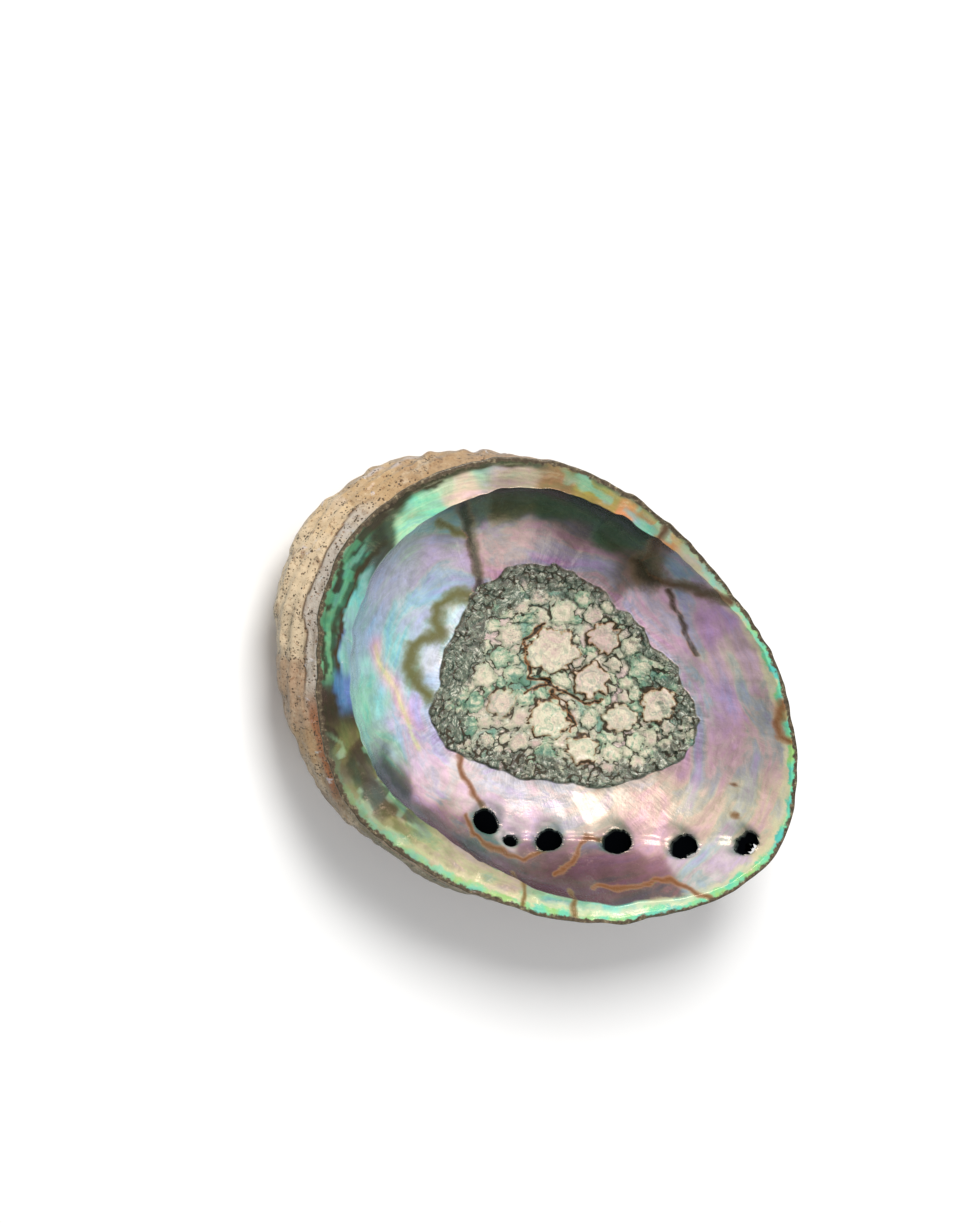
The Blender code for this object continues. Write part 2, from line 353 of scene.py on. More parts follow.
def grid_normals(points, up):
    g = points.reshape(SIDE, SIDE, 3)
    n = np.cross(np.gradient(g, axis=0), np.gradient(g, axis=1)).reshape(-1, 3)
    n /= np.maximum(np.linalg.norm(n, axis=1, keepdims=True), 1e-9)
    return n * up


def to_line(xy, line):
    """Distance from each point to a line through the given points."""
    best = np.full(len(xy), 1e9)
    line = np.asarray(line, float)
    for a, b in zip(line[:-1], line[1:]):
        along = b - a
        t = np.clip((xy - a) @ along / (along @ along), 0, 1)
        best = np.minimum(best, np.linalg.norm(xy - a - t[:, None] * along, axis=1))
    return best


def inside(xy, outline):
    """Which points lie inside a closed outline."""
    x, y = xy.T
    hit = np.zeros(len(xy), bool)
    pts = np.asarray(outline, float)
    for (x0, y0), (x1, y1) in zip(pts, np.roll(pts, -1, axis=0)):
        if y0 == y1:
            continue
        cross = (y0 > y) != (y1 > y)
        hit ^= cross & (x < (x1 - x0) * (y - y0) / (y1 - y0) + x0)
    return hit


def warp(xy, amount, scale, seed):
    """The points, moved about by up to the amount."""
    return xy + amount * np.stack([noise(xy, scale, seed), noise(xy, scale, seed + 1)], 1)


def scar_depth(xy):
    """Distance inside the scar's scalloped outline, negative outside it."""
    moved = warp(warp(xy, 1.1, 5.0, 21), 0.5, 2.0, 23)
    d = to_line(moved, SCAR + SCAR[:1])
    return np.where(inside(moved, SCAR), d, -d)


def all_rosettes():
    """The larger rosettes and small ones crowded between and around them, smallest first."""
    rng = np.random.default_rng(11)
    places = rng.uniform((-27, -28), (54, 38), (7000, 2))
    sizes = rng.random(7000)
    depths = scar_depth(places)
    found = np.array(ROSETTES, float)
    for place, size, depth in zip(places, sizes, depths):
        if depth < 0.6:
            continue
        radius = 0.9 + 1.3 * size if depth < 5 else 1.6 + 1.9 * size
        gaps = np.hypot(*(found[:, :2] - place).T) - 0.74 * (radius + found[:, 2])
        if gaps.min() > 0:
            found = np.vstack([found, (*place, radius)])
    return found[np.argsort(found[:, 2])]


def rosette_fields(xy):
    """What the rosettes look like at each point: the distance from the middle of its rosette, the distance
    inside that rosette's edge (negative between rosettes), a random number and the radius of the rosette, and
    from 0 to 1 how near the point lies to an edge of a rosette that covers others, which the relief sinks and
    the scar's colour paints as shade."""
    rosettes = all_rosettes()
    rng = np.random.default_rng(5)
    moved = warp(warp(xy, 0.8, 3.4, 31), 0.34, 1.1, 33)
    reach = np.full(len(xy), 9.0)
    edge = np.full(len(xy), -9.0)
    under = np.zeros(len(xy))
    owner = np.zeros(len(xy), int)
    for n, (cx, cy, r) in enumerate(rosettes):
        near = np.where(np.hypot(moved[:, 0] - cx, moved[:, 1] - cy) < r + 2.5)[0]
        lobes = rng.integers(6, 10)
        turns = (np.arange(lobes) + rng.uniform(-0.28, 0.28, lobes)) * 2 * math.pi / lobes
        turns = turns + rng.uniform(0, 6.28)
        bulges = rng.uniform(0.2, 0.38, lobes)
        d = moved[near] - (cx, cy)
        away = np.hypot(d[:, 0], d[:, 1])
        inward = 0.84 * r - away
        for turn, bulge in zip(turns, bulges):
            middle = r * (1.04 - bulge) * np.array([math.cos(turn), math.sin(turn)])
            inward = np.maximum(inward, bulge * r - np.hypot(*(d - middle).T))
        mine = (inward > 0) | (inward > edge[near])
        on_top = inward > 0
        beside = np.exp(np.minimum(inward, 0) / 0.5)
        under[near] = np.where(on_top, 0.0, np.maximum(under[near], beside))
        taken = near[mine]
        owner[taken] = n
        reach[taken] = away[mine]
        edge[taken] = inward[mine]
    return reach, edge, rng.random(len(rosettes))[owner], rosettes[owner, 2], under


def pore_frames(table):
    """Each pore's middle on the inside, axis out of the shell, slant towards the rim, radius and taper."""
    found = []
    for azimuth, share, radius, slant, taper in PORES:
        place = share * (WALL - 1)
        a = np.array([azimuth, azimuth + 1, azimuth - 1, azimuth, azimuth])
        s = np.array([place, place, place, place + 4, place - 4])
        p = to_xyz(a, look_up(table, a, s))
        rimward = (p[3] - p[4]) / np.linalg.norm(p[3] - p[4])
        axis = np.cross(p[1] - p[2], rimward)
        axis /= np.linalg.norm(axis)
        found.append((p[0] - PORE_DENT * rimward * slant, axis, rimward * slant, radius, taper))
    return found


def pore_size(along, pore):
    """The pore's radius along its axis. It narrows from the bottom of its dent."""
    radius, taper = pore[3:]
    return radius * np.clip(1 - taper * np.maximum(along - PORE_DENT, 0), PORE_TIP, 1)


def pore_circle(points, pore):
    """Where points lie along a pore, and how far outside its slanting, narrowing wall they are."""
    middle, axis, slant = pore[:3]
    d = points - middle
    along = d @ axis
    flat = d - along[:, None] * (axis + slant)
    return along, np.linalg.norm(flat, axis=1) - pore_size(along, pore)


def pore_offset(points, pores):
    """Distance from each point to the edge of the nearest pore."""
    best = np.full(len(points), 50.0)
    for pore in pores:
        along, off = pore_circle(points, pore)
        best = np.minimum(best, np.where(np.abs(along) < 12, off, 50.0))
    return best


def pore_row_line(pores):
    """The line that the pores follow to the growing edge, seen from above."""
    return np.array([p[0][:2] for p in pores] + [(84.0, 3.0)])


def inner_relief(points, place, pores):
    """Height of the inside's relief, in mm, towards the bowl's opening."""
    xy = points[:, :2]
    depth = scar_depth(xy)
    reach, edge, _, size, under = rosette_fields(xy)
    on_scar = rise(depth, -0.2, 0.8)
    frill = (0.3 + 0.1 * np.clip(size, 0, 6)) * rise(edge, -0.1, 0.5)
    frill += 0.16 * bell(edge - 0.5, 0.4) - 0.25 * under
    frill += 0.05 * np.sin(reach * 3.0 + 3 * noise(xy, 3.0, 41)) + 0.2 * noise(xy, 1.5, 43)
    frill += 0.3 * np.abs(noise(warp(xy, 1.2, 2.5, 46), 3.2, 44))
    foil = 1 - rise(depth + 2.5 * noise(xy, 6.0, 47) - rise(-xy[:, 0], 2, 14) * 5, 2.0, 6.0)
    frill += 0.6 * foil * np.abs(noise(warp(xy, 1.0, 2.0, 48), 1.9, 50))
    height = on_scar * (0.15 + frill)
    height += 0.35 * bell(depth, 1.1) * (0.6 + 0.6 * noise(xy, 1.6, 45))
    for half, lines in CRACKS:
        height -= 0.8 * bell(to_line(xy, lines), half + 0.1)
    soft = rise(place, 60, 180) * (1 - on_scar)
    height += soft * (0.35 * noise(points, 17.0, 51) + 0.1 * noise(points, 5.0, 53))
    for half, dark, line in STAINS[:9]:
        height -= 0.22 * dark * bell(to_line(xy, line), half)
    off = pore_offset(points, pores)
    height -= 1.3 * np.exp(-np.clip(off, 0, 50) / 1.5)
    row = to_line(xy, pore_row_line(pores))
    on_wall = 1 - rise(place, WALL - 40, WALL - 5)
    height -= on_wall * 0.9 * bell(row, 2.6) * rise(xy[:, 0], 12, 18)
    height += on_wall * 0.5 * bell(row, 0.7) * rise(xy[:, 0], 14, 20)
    on_shelf = rise(place, WALL + 6, WALL + 30)
    width = rise(station_values(np.degrees(direction(xy)))[:, 1], 3, 8)
    layers = np.sin((place - WALL) * 0.36 + 2.2 * noise(points, 6.0, 55))
    outer_half = rise(place, WALL + 45, WALL + 75)
    height += on_shelf * width * (0.16 * layers * outer_half + 0.16 * noise(points, 3.0, 57))
    height -= 0.7 * bell(place - WALL - 30, 34.0) * width
    return height


def back_coordinates(xy):
    """Growth coordinate, 1 at the margin and 0 at the apex, and the angle along the spiral cords."""
    apex = np.array([-46.0, 10.0])
    d = xy - apex
    turn = direction(d)
    reach = np.hypot(d[:, 0], d[:, 1]) + 0.01
    azimuth = np.arange(0, 360, 2.0)
    margin = polar(station_values(azimuth)[:, 0], np.radians(azimuth)) - apex
    edge_turn = direction(margin)
    order = np.argsort(edge_turn)
    edge_reach = np.interp(turn, edge_turn[order], np.hypot(*margin.T)[order], period=2 * math.pi)
    return reach / edge_reach, turn - 1.19 * np.log(reach / 40.0)


def back_relief(points, place, pores):
    """Height of the back's growth ridges, cords, pits and tubes, in mm, outwards."""
    xy = points[:, :2]
    grow, cord = back_coordinates(xy)
    shake = noise(points, 9.0, 61)
    away = rise(grow, 0.08, 0.25)
    ridge = np.abs(np.sin(grow * 34 + 1.6 * shake))
    height = away * 0.55 * (1 - ridge**1.5)
    height += away * 0.3 * np.sin(cord * 30 + 1.2 * shake) * (0.6 + 0.4 * noise(points, 14.0, 63))
    height += 0.5 * noise(points, 7.0, 65) + 0.25 * noise(points, 2.6, 67)
    crust = rise(noise(points, 11.0, 69), 0.1, 0.5)
    height += 0.5 * crust * (0.5 + 0.5 * noise(points, 2.0, 71))
    pits = rise(noise(points, 1.7, 73), 0.55, 0.8)
    height -= 0.35 * pits
    off = pore_offset(points, pores)
    height += 2.2 * bell(off - 0.7, 1.4)
    row = to_line(xy, pore_row_line(pores))
    height += 0.8 * bell(row, 4.0)
    lip = rise(BACK_START + 60 - place, 0, 70)
    return (height - 0.4) * (1 - 0.75 * lip)


def grid_faces(offset, flip):
    index = np.arange(SIDE**2).reshape(SIDE, SIDE) + offset
    quads = np.stack([index[:-1, :-1], index[1:, :-1], index[1:, 1:], index[:-1, 1:]], 2).reshape(-1, 4)
    return quads[:, ::-1] if flip else quads


def border_loop(faces):
    """The corners round a patch of faces, in order."""
    follows = {}
    for face in faces:
        for a, b in zip(face, np.roll(face, -1)):
            follows[(int(a), int(b))] = True
    edges = {a: b for a, b in follows if (b, a) not in follows}
    start = next(iter(edges))
    loop = [start]
    while edges[loop[-1]] != start:
        loop.append(edges[loop[-1]])
    return loop


def main_axes(axis):
    """Two directions across a pore's axis."""
    side = np.cross(axis, (0.0, 1.0, 0.0))
    side /= np.linalg.norm(side)
    return side, np.cross(axis, side)


def ring_points(pore, along, angle, flare):
    """Points round a pore's wall at the given places along it."""
    middle, axis, slant = pore[:3]
    side, over = main_axes(axis)
    size = (pore_size(along, pore) + flare)[:, None]
    out = np.cos(angle)[:, None] * side + np.sin(angle)[:, None] * over
    return middle + along[:, None] * (axis + slant) + size * out


def ring_wall(first, second):
    """Faces between two rings with as many corners each."""
    return list(zip(second, np.roll(second, -1), np.roll(first, -1), first))


def cut_pores(points, faces, pores, split):
    """Opens each pore through both sheets and lines it with a smooth wall. split is the back's first face."""
    extra_points = []
    extra_faces = []
    keep = np.ones(len(faces), bool)
    middles = points[faces].mean(1)
    total = len(points)
    for pore in pores:
        side, over = main_axes(pore[1])
        loops = []
        for first, last, flare in zip((0, split), (split, len(faces)), PORE_FLARES):
            along, off = pore_circle(middles[first:last], pore)
            gone = np.where((off < flare) & (np.abs(along) < 9))[0] + first
            keep[gone] = False
            loop = border_loop(faces[gone])
            along, _ = pore_circle(points[loop], pore)
            p = points[loop] - pore[0] - along[:, None] * (pore[1] + pore[2])
            step = np.linalg.norm(np.roll(p, -1, axis=0) - p, axis=1)
            turned = np.arctan2(p @ over, p @ side)
            way = 1.0 if np.sum(np.sin(np.roll(turned, -1) - turned)) > 0 else -1.0
            swept = way * 2 * math.pi * np.concatenate([[0], np.cumsum(step)[:-1]]) / step.sum()
            angle = swept + np.angle(np.mean(np.exp(1j * (turned - swept))))
            along = 0.4 * along.mean() + 0.6 * along
            points[loop] = ring_points(pore, along, angle, flare)
            loops.append((np.array(loop), angle, along, way))
        inner, inner_angle, inner_along, way = loops[0]
        outer, outer_angle, outer_along, _ = loops[1]
        chain = [inner]
        for level, flare in PORE_LINING:
            extra_points.append(ring_points(pore, inner_along + level, inner_angle, flare))
            chain.append(np.arange(total, total + len(inner)))
            total += len(inner)
        for a, b in zip(chain[:-1], chain[1:]):
            extra_faces += ring_wall(a, b)
        extra_points.append(ring_points(pore, outer_along - 0.4, outer_angle, 0.0))
        low = np.arange(total, total + len(outer))
        total += len(outer)
        extra_faces += ring_wall(outer, low)
        extra_faces += zipper(chain[-1], inner_angle, low, outer_angle, way)
    return np.vstack([points] + extra_points), faces[keep], extra_faces


def zipper(ring_a, angle_a, ring_b, angle_b, way):
    """Triangles between two rings with different numbers of corners, wound the way ring_a's wall is."""
    turn = 2 * math.pi
    order_a = np.argsort(angle_a * way % turn)
    order_b = np.argsort(angle_b * way % turn)
    a, ta = ring_a[order_a], (angle_a * way % turn)[order_a]
    b, tb = ring_b[order_b], (angle_b * way % turn)[order_b]
    i = j = 0
    found = []
    while i < len(a) or j < len(b):
        next_a = ta[i % len(a)] + (turn if i >= len(a) else 0)
        next_b = tb[j % len(b)] + (turn if j >= len(b) else 0)
        if i < len(a) and (j >= len(b) or next_a <= next_b):
            found.append((a[i % len(a)], b[j % len(b)], a[(i + 1) % len(a)]))
            i += 1
        else:
            found.append((a[i % len(a)], b[j % len(b)], b[(j + 1) % len(b)]))
            j += 1
    return found


def zone_colour(points, zones, seed):
    """Blocks in the zones' colours with soft, wandering borders."""
    xy = warp(warp(points[:, :2], 2.2, 9.0, seed), 0.9, 3.0, seed + 2)
    total = np.zeros((len(xy), 3))
    weight = np.full((len(xy), 1), 1e-12)
    for x, y, spread, *rgb in zones:
        w = np.exp(-((xy[:, 0] - x) ** 2 + (xy[:, 1] - y) ** 2) / (0.75 * spread) ** 2)[:, None] + 1e-9
        total += w * linear(rgb)
        weight += w
    return total / weight


def between(value, start, full, end, gone):
    """Rises from start to full and falls from end to gone."""
    return rise(value, start, full) * (1 - rise(value, end, gone))


def paint_wall_shade(colour, points, azimuth, share):
    """Painted shade: the steep walls at the two long sides are darker than the floor."""
    patch = noise(points, 8.0, 85)
    top = between(azimuth, 76, 92, 142, 158) * rise(share + 0.06 * noise(points, 6.0, 86), 0.5, 0.76)
    green = blend(linear((44, 54, 42)), linear((60, 44, 36)), rise(patch, -0.1, 0.4))
    colour = blend(colour, green, 0.95 * top)
    low = between(azimuth, 226, 244, 326, 350) * rise(share + 0.05 * noise(points, 6.0, 87), 0.52, 0.72)
    mauve = blend(linear((88, 62, 72)), linear((52, 62, 64)), rise(25 * patch - azimuth, -285, -262))
    return blend(colour, mauve, 0.93 * low)


def shelf_strips(colour, points, azimuth, across):
    """Bands along the shelf. across is 0 at its inner edge and 1 at the rim."""
    across = across + 0.1 * noise(points, 4.5, 111) + 0.05 * noise(points, 1.6, 113)
    left = between(azimuth, 167, 177, 208, 216)
    top = between(azimuth, 48, 58, 112, 122)
    low = between(azimuth, 220, 228, 256, 272)
    layered = 0.5 + 0.5 * np.sin(across * 22 + 2.0 * noise(points, 7.0, 115))
    blotch = noise(points, 5.0, 121)
    fleck = noise(points, 2.6, 123)
    return paint(colour, [
        (left * rise(across, 0.34, 0.44), (38, 78, 62)),
        (left * rise(across, 0.36, 0.46) * rise(layered, 0.45, 0.8), (82, 146, 112)),
        (left * between(across, 0.66, 0.76, 1.2, 1.3) * rise(layered, 0.7, 0.3), (44, 48, 36)),
        (left * between(across, 0.25, 0.3, 0.38, 0.46), (52, 42, 30)),
        (left * rise(across, 0.36, 0.46) * rise(fleck, 0.15, 0.4) * 0.7, (66, 148, 112)),
        (left * rise(across, 0.4, 0.5) * rise(-blotch, 0.1, 0.35) * 0.7, (54, 44, 32)),
        (left * (1 - rise(across, 0.2, 0.28)), (88, 166, 174)),
        (between(azimuth, 206, 211, 216, 222) * (1 - rise(across, 0.44, 0.54)), (44, 104, 170)),
        (between(azimuth, 208, 216, 226, 236) * rise(across, 0.34, 0.52), (42, 36, 30)),
        (between(azimuth, 219, 224, 228, 236) * 0.8, (48, 44, 36)),
        (low * rise(blotch, -0.05, 0.25) * 0.8, (100, 106, 62)),
        (low * rise(-blotch, 0.0, 0.3) * 0.7, (50, 46, 38)),
        (low * rise(fleck, 0.25, 0.5) * 0.6, (116, 164, 132)),
        (between(azimuth, 222, 234, 285, 300) * rise(across, 0.74, 0.92) * 0.9, (66, 66, 46)),
        (between(azimuth, 118, 128, 166, 174) * rise(across, 0.64, 0.76), (46, 52, 38)),
        (between(azimuth + 14 * across, 168, 172, 178, 184) * 0.9, (42, 42, 34)),
        (top * between(across, 0.3, 0.48, 0.9, 1.0) * rise(blotch, -0.1, 0.2), (158, 104, 42)),
        (top * rise(across, 0.62, 0.82) * 0.9, (60, 54, 38)),
        (top * rise(fleck, 0.2, 0.45) * rise(across, 0.1, 0.3) * 0.7, (78, 168, 150)),
    ])


def back_strips(points, azimuth, from_lip):
    """The back's colours: a grey strip and a dark seam beside the lip at the spire, and pearl and ochre on
    either side of it, over the zones."""
    colour = zone_colour(points, BACK_ZONES, 99)
    reach = from_lip + 0.9 * noise(points, 7.0, 101) + 0.3 * noise(points, 2.0, 103)
    left = between(azimuth, 163, 172, 208, 222)
    pearly = between(azimuth, 118, 140, 156, 176) * rise(noise(points, 6.0, 107), -0.25, 0.15)
    return paint(colour, [
        (left * (1 - rise(reach, 4.2, 4.8)), (180, 171, 160)),
        (left * between(reach, 4.0, 4.4, 4.7, 5.1), (84, 64, 48)),
        (left * between(reach, 1.6, 1.9, 2.1, 2.4) * 0.7, (120, 106, 92)),
        (pearly * between(reach, 8.6, 10.2, 12.6, 14.6) * 0.85, (196, 190, 196)),
        (pearly * between(reach, 10.9, 11.3, 11.5, 12.0) * 0.7, (74, 68, 66)),
        (between(azimuth, 212, 220, 236, 246) * (1 - rise(reach, 3.0, 4.5)) * 0.8, (150, 84, 46)),
    ])


def stain_fields(xy):
    """How far into a stained line each point is, from 1 at its middle to 0 a line's width outside it, and how
    dark the line is."""
    moved = warp(xy, 0.6, 2.6, 81)
    swell = 1 + 0.32 * noise(xy, 5.0, 82) + 0.18 * noise(xy, 1.9, 84)
    best = np.zeros(len(xy))
    dark = np.zeros(len(xy))
    for half, tone, line in STAINS:
        value = 1 - np.clip(to_line(moved, line) / (1.25 * half * swell), 0, 1)
        dark = np.where(value > best, tone, dark)
        best = np.maximum(best, value)
    return best, dark


def rest_matrix(table):
    """Tips the shell to its balance and stands it on the ground, as the solid does."""
    pitch = Matrix.Rotation(math.radians(REST_PITCH), 4, "Y")
    tip = pitch @ Matrix.Rotation(math.radians(REST_ROLL), 4, "X")
    lo, hi = CAD_BOX
    turn = np.array(tip.to_3x3())
    azimuth = np.repeat(np.arange(0, 360, 3.0), table.shape[1] // 4)
    place = np.tile(np.arange(table.shape[1] // 4) * 4.0, 120)
    points = to_xyz(azimuth, look_up(table, azimuth, place)) @ turn.T
    middle = (points.min(0) + points.max(0)) / 2
    centre = (np.array(lo) + np.array(hi)) / 2 / MM
    move = Vector((centre[0] - middle[0], centre[1] - middle[1], -points[:, 2].min() - WORN_DEPTH))
    return Matrix.Translation(move * MM) @ tip


def add_object(name, data):
    obj = bpy.data.objects.new(name, data)
    bpy.context.scene.collection.objects.link(obj)
    return obj


def build_shell():
    table = section_table()
    azimuth, ring = disc_grid()
    pores = pore_frames(table)
    in_place = inner_place(ring)
    out_place = outer_place(ring)
    inner = to_xyz(azimuth, look_up(table, azimuth, in_place))
    outer = to_xyz(azimuth, look_up(table, azimuth, out_place))
    in_normal = grid_normals(inner, 1.0)
    out_normal = grid_normals(outer, -1.0)
    fade = (1 - rise(in_place, WALL + SHELF - 14, WALL + SHELF))[:, None]
    inner = inner + in_normal * fade * inner_relief(inner, in_place, pores)[:, None]
    rim = (ring < RINGS)[:, None]
    outer = outer + out_normal * rim * back_relief(outer, out_place, pores)[:, None]

    # Both sheets share the corners of the lip's outermost ring.
    count = SIDE**2
    faces_in = grid_faces(0, False)
    faces_out = grid_faces(count, True)
    shared = np.arange(2 * count)
    on_rim = np.where(ring == RINGS)[0]
    shared[count + on_rim] = on_rim
    faces = np.vstack([faces_in, shared[faces_out]])
    points, faces, walls = cut_pores(np.vstack([inner, outer]), faces, pores, len(faces_in))
    used = np.zeros(len(points), bool)
    used[faces.ravel()] = True
    for face in walls:
        used[list(face)] = True
    number = np.cumsum(used) - 1
    faces = number[faces].tolist() + [[int(number[v]) for v in face] for face in walls]

    lining = np.ones(len(points) - 2 * count)
    on_back = np.concatenate([np.zeros(count), np.ones(count), 0 * lining])[used]
    place = np.concatenate([in_place, out_place, 100 * lining])[used]
    in_pore = np.concatenate([np.zeros(2 * count), lining])[used]
    points = points[used]

    rest = rest_matrix(table)
    turn = np.array(rest.to_3x3())
    world = points @ turn.T + np.array(rest.translation) / MM
    worn = np.clip(-world[:, 2] + 0.5, 0, 1) * on_back
    world[:, 2] = np.maximum(world[:, 2], 0.0)

    mesh = bpy.data.meshes.new("shell_visual")
    mesh.from_pydata((world * MM).tolist(), [], faces)
    mesh.shade_smooth()
    fill_values(mesh, points, place, on_back, in_pore, worn, pores, table)
    mesh.validate()
    return add_object("shell_visual", mesh), rest


def fill_values(mesh, points, place, on_back, in_pore, worn, pores, table):
    """Stores what the material needs to know at every point."""
    xy = points[:, :2]
    angle = direction(xy)
    azimuth = np.degrees(angle)
    step = np.linalg.norm(np.diff(table, axis=1, prepend=table[:, :1]), axis=2)
    run = np.cumsum(step, axis=1)[:, :, None]
    lip = np.full(len(points), WALL + SHELF - 1.0)
    from_lip = np.abs(look_up(run, azimuth, lip) - look_up(run, azimuth, place))[:, 0]
    wall = zone_colour(points, WALL_ZONES, 91)
    # Painted shade on the steep walls at the two long sides.
    wall = paint_wall_shade(wall, points, azimuth % 360, np.clip(place / (WALL - 1), 0, 1))
    streak = to_line(warp(xy, 0.8, 6.0, 117), STREAK)
    streaks = [(0.75 * bell(streak, 2.3), (232, 168, 196)), (0.65 * bell(streak, 0.8), (222, 224, 150))]
    wall = paint(wall, streaks)
    shelf = zone_colour(points, SHELF_ZONES, 95)
    shelf = shelf_strips(shelf, points, azimuth % 360, (place - WALL) / SHELF)
    inner = blend(wall, shelf, rise(place, WALL - 8, WALL + 4))
    base = blend(inner, back_strips(points, azimuth % 360, from_lip), on_back)
    reach, edge, pick, size, under = rosette_fields(xy)
    stain, dark = stain_fields(xy)
    crack = np.zeros(len(points))
    crooked = warp(warp(xy, 0.9, 2.6, 83), 0.4, 1.0, 88)
    for half, line in CRACKS:
        crack = np.maximum(crack, 1 - np.clip(to_line(crooked, line) / (4 * half), 0, 1))
    grow, cord = back_coordinates(xy)
    band = np.interp(azimuth % 360, *zip(*BAND))
    around = warp(xy, 1.5, 11.0, 105) - SWIRL_MIDDLE
    values = {
        "base": base, "on_back": on_back, "from_lip": from_lip,
        "scar": np.where(on_back > 0, -20.0, scar_depth(xy)),
        # under: where the scar's colour paints shade beside rosettes that cover others
        "reach": reach, "edge": edge, "pick": pick, "under": under,
        "rust": rise(size, RUSTY - 1.2, RUSTY),
        "stain": stain * (1 - on_back), "stain_dark": dark, "crack": crack,
        "pore": np.where(in_pore > 0, -1.0, pore_offset(points, pores)),
        "gleam": rise(base.mean(1), 0.08, 0.35),
        "grow": grow, "cord": polar(1, cord, grow), "worn": worn,
        "band": band * (1 - on_back),
        "swirl": polar(1.6, direction(around), np.hypot(around[:, 0], 1.25 * around[:, 1]) / 10),
        "fibre": polar(9, angle, np.hypot(xy[:, 0], xy[:, 1]) / 30),
        "plan": points / 10,
    }
    for name, value in values.items():
        kind, field = ("FLOAT", "value") if value.ndim == 1 else ("FLOAT_VECTOR", "vector")
        layer = mesh.attributes.new(name, kind, "POINT")
        layer.data.foreach_set(field, value.astype(np.float32).ravel())


class Graph:
    """Short ways to add the shader nodes that the material is made of."""

    def __init__(self, material):
        material.use_nodes = True
        self.tree = material.node_tree
        self.shader = self.tree.nodes["Principled BSDF"]

    def add(self, kind, inputs=(), **settings):
        node = self.tree.nodes.new(kind)
        for name, value in settings.items():
            setattr(node, name, value)
        for name, value in dict(inputs).items():
            self.put(node.inputs[name], value)
        return node

    def put(self, socket, value):
        if isinstance(value, bpy.types.NodeSocket):
            self.tree.links.new(value, socket)
        else:
            socket.default_value = value

    def value(self, name):
        return self.add("ShaderNodeAttribute", attribute_name=name).outputs["Fac"]

    def vector(self, name):
        return self.add("ShaderNodeAttribute", attribute_name=name).outputs["Vector"]

    def math(self, operation, a, b=0.0, clamp=False):
        return self.add("ShaderNodeMath", {0: a, 1: b}, operation=operation, use_clamp=clamp).outputs[0]

    def plus(self, first, *others):
        for other in others:
            first = self.math("ADD", first, other)
        return first

    def times(self, a, b):
        return self.math("MULTIPLY", a, b)

    def minus(self, a, b):
        return self.math("SUBTRACT", a, b)

    def total(self, *parts):
        """The sum of the values, each times its weight."""
        return self.plus(*(self.times(value, weight) for value, weight in parts))

    def pack(self, *parts):
        return self.add("ShaderNodeCombineXYZ", enumerate(parts)).outputs[0]

    def lengthwise(self, vector):
        return self.add("ShaderNodeSeparateXYZ", {0: vector}).outputs[0]

    def noise(self, vector, scale, detail=3.0, rough=0.5, twist=0.0):
        node = self.add("ShaderNodeTexNoise", {"Vector": vector, "Scale": scale, "Detail": detail,
                                               "Roughness": rough, "Distortion": twist})
        return node.outputs["Fac"]

    def spread(self, value, low, high, to_low=0.0, to_high=1.0):
        """Goes smoothly from to_low to to_high as the value goes from low to high."""
        inputs = {"Value": value, "From Min": low, "From Max": high, "To Min": to_low, "To Max": to_high}
        return self.add("ShaderNodeMapRange", inputs, interpolation_type="SMOOTHSTEP").outputs["Result"]

    def wobble(self, vector, scale, detail, rough, low, high):
        """Noise between low and high."""
        return self.spread(self.noise(vector, scale, detail, rough), 0.3, 0.7, low, high)

    def ramp(self, value, stops):
        node = self.add("ShaderNodeValToRGB", {"Fac": value})
        elements = node.color_ramp.elements
        while len(elements) < len(stops):
            elements.new(0.5)
        for element, (place, rgb) in zip(elements, stops):
            element.position = place
            element.color = (*linear(rgb), 1.0)
        return node.outputs["Color"]

    def mix(self, share, a, b, blend="MIX"):
        node = self.add("ShaderNodeMix", data_type="RGBA", blend_type=blend)
        self.put(node.inputs[0], share)
        self.put(node.inputs[6], self.colour(a))
        self.put(node.inputs[7], self.colour(b))
        return node.outputs[2]

    def cover(self, colour, top, value, low, high, most=1.0):
        """The colour, more covered by the top one as the value goes from low to high."""
        return self.mix(self.spread(value, low, high, 0.0, most), colour, top)

    def shade(self, name, value):
        self.put(self.shader.inputs[name], value)

    def colour(self, value):
        if isinstance(value, bpy.types.NodeSocket):
            return value
        return (*linear(value), 1.0)


PEARL = [
    (0, (238, 176, 214)), (0.16, (206, 176, 236)), (0.32, (160, 192, 238)), (0.46, (140, 224, 214)),
    (0.58, (176, 232, 176)), (0.7, (238, 226, 164)), (0.84, (240, 190, 178)), (1, (238, 176, 214)),
]


